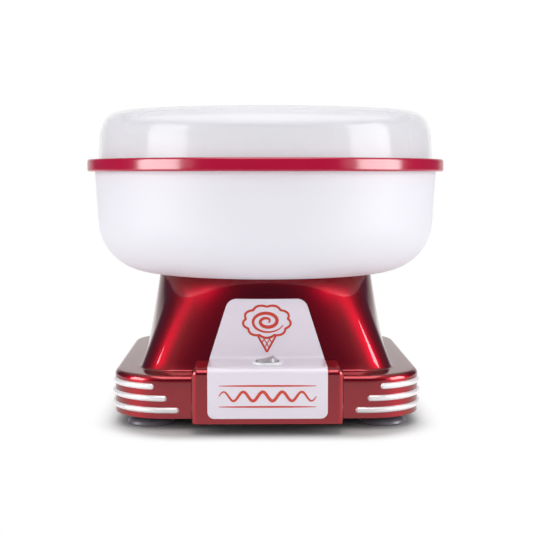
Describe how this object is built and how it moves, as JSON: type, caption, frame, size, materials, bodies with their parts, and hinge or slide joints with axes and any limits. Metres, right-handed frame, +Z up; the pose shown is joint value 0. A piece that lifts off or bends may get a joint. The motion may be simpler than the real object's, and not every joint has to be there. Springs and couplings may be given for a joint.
{
  "type": "electric cotton candy machine",
  "caption": "Table-top cotton candy machine: red lacquered tower base with rocker switch, white bowl with red rim ring, clear splash shield and a motor-driven heated sugar head.",
  "frame": {"origin": "on the table under the spin axis, at the centre of the feet", "axes": "+Z up along the spin axis, the panel and the switch face -Y, +X to the machine's right as seen from the front"},
  "size_m": [0.29, 0.29, 0.237],
  "materials": {
    "red_lacquer": "clear-coated metallic candy red over moulded ABS",
    "panel_gloss_white": "smooth pale lilac-white moulding with a printed red ornament",
    "black_plastic": "lightly textured black moulding",
    "screw_steel": "zinc-plated steel",
    "switch_white": "glossy white moulding",
    "rocker_grey": "satin light-grey moulding",
    "brass_tab": "plain brass",
    "heatproof_black": "matt heat-proof moulding",
    "pan_aluminium": "pressed bright aluminium",
    "insulator_ceramic": "unglazed white ceramic",
    "heater_steel": "heat-stained steel sheath",
    "thermostat_steel": "pressed steel cap",
    "fuse_metal": "plated barrel and spring clip",
    "bracket_steel": "galvanised sheet steel",
    "grommet_rubber": "soft black rubber",
    "motor_steel": "plated steel",
    "brush_carbon": "pressed carbon",
    "bush_bronze": "sintered bronze",
    "magnet_ferrite": "sintered dark-grey ferrite",
    "board_laminate": "green glass-fibre laminate",
    "component_black": "black moulded cases",
    "terminal_white": "white nylon",
    "shaft_steel": "ground steel",
    "winding_copper": "enamelled copper",
    "fan_plastic": "black nylon",
    "head_aluminium": "spun aluminium",
    "head_steel": "slotted stainless band",
    "bowl_white": "glossy white moulding",
    "ring_raspberry": "glossy raspberry-red moulding",
    "shield_frosted": "milky translucent moulding, glossy outside",
    "foot_rubber": "translucent grey soft rubber",
    "trim_chrome": "bright chrome-plated moulding",
    "lead_sleeve": "heat-proof silicone sleeve"
  },
  "bodies": {
    "base": {"base_housing": "red_lacquer", "fascia_panel": "panel_gloss_white", "bottom_plate": "black_plastic", "bottom_screws": "screw_steel", "switch_body": "switch_white", "switch_tabs": "brass_tab", "neck_collar": "heatproof_black", "heater_pan": "pan_aluminium", "heater_insulator": "insulator_ceramic", "heating_coil": "heater_steel", "thermostat": "thermostat_steel", "thermal_fuse": "fuse_metal", "pan_screws": "screw_steel", "motor_bracket": "bracket_steel", "bracket_grommets": "grommet_rubber", "bracket_screws": "screw_steel", "motor_can": "motor_steel", "motor_end_cap": "black_plastic", "motor_screws": "screw_steel", "motor_brushes": "brush_carbon", "shaft_bushes": "bush_bronze", "stator_magnets": "magnet_ferrite", "rectifier_board": "board_laminate", "board_components": "component_black", "board_screws": "screw_steel", "terminal_block": "terminal_white", "cord_gland": "black_plastic", "foot_front_left": "foot_rubber", "foot_front_right": "foot_rubber", "foot_rear_left": "foot_rubber", "foot_rear_right": "foot_rubber", "trim_left_upper": "trim_chrome", "trim_left_middle": "trim_chrome", "trim_left_lower": "trim_chrome", "trim_right_upper": "trim_chrome", "trim_right_middle": "trim_chrome", "trim_right_lower": "trim_chrome", "switch_leads": "lead_sleeve", "heater_leads": "lead_sleeve", "motor_leads": "lead_sleeve"},
    "rotor": {"motor_shaft": "shaft_steel", "drive_pin": "shaft_steel", "armature_core": "motor_steel", "armature_windings": "winding_copper", "commutator": "winding_copper", "cooling_fan": "fan_plastic"},
    "sugar_head": {"head_base": "head_aluminium", "head_screen": "head_steel", "head_cap": "head_aluminium", "head_screws": "screw_steel"},
    "bowl": {"bowl": "bowl_white", "rim_ring": "ring_raspberry"},
    "shield": {"splash_shield": "shield_frosted"},
    "rocker": {"switch_rocker": "rocker_grey"}
  },
  "joints": [
    {"name": "rotor_spin", "type": "hinge", "parent": "base", "child": "rotor", "pos_m": [0, 0, 0.06], "axis": [0, 0, 1], "continuous": true},
    {"name": "head_lift", "type": "slide", "parent": "rotor", "child": "sugar_head", "axis": [0, 0, 1], "range_m": [0, 0.11]},
    {"name": "bowl_lift", "type": "slide", "parent": "base", "child": "bowl", "axis": [0, 0, 1], "range_m": [0, 0.11]},
    {"name": "shield_lift", "type": "slide", "parent": "bowl", "child": "shield", "axis": [0, 0, 1], "range_m": [0, 0.1]},
    {"name": "switch_rock", "type": "hinge", "parent": "base", "child": "rocker", "pos_m": [0, -0.117, 0.0486], "axis": [0, 1, 0], "range_deg": [0, 28]}
  ]
}
